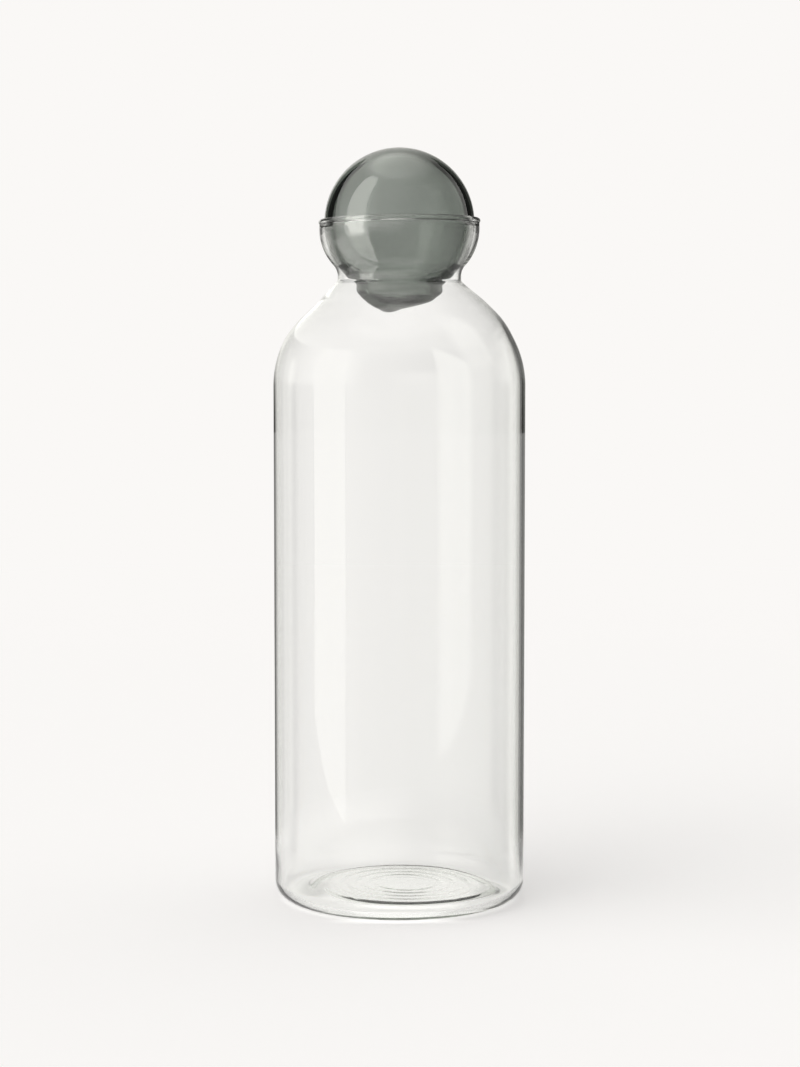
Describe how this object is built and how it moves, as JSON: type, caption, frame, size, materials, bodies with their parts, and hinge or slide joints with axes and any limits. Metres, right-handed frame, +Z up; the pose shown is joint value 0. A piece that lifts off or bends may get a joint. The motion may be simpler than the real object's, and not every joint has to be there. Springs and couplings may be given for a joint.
{
  "type": "water carafe with ball stopper",
  "caption": "Straight-sided clear glass carafe with a round shoulder and a cup-shaped mouth that holds a smoked glass ball stopper, which lifts out.",
  "frame": {"origin": "middle of the foot, on the surface the carafe stands on", "axes": "+Z up along the axis of the bottle, +X to the right as the picture shows it; the tip of the stopper's tail leans towards -X"},
  "size_m": [0.09, 0.09, 0.2689],
  "materials": {
    "clear_glass": "clear blown borosilicate glass, fire-polished",
    "smoked_glass": "smoked grey-green blown glass, fire-polished"
  },
  "bodies": {
    "bottle": {"glass_carafe": "clear_glass"},
    "stopper": {"ball_stopper": "smoked_glass"}
  },
  "joints": [
    {"name": "stopper_lift", "type": "slide", "parent": "bottle", "child": "stopper", "axis": [0, 0, 1], "range_m": [0, 0.08]}
  ]
}
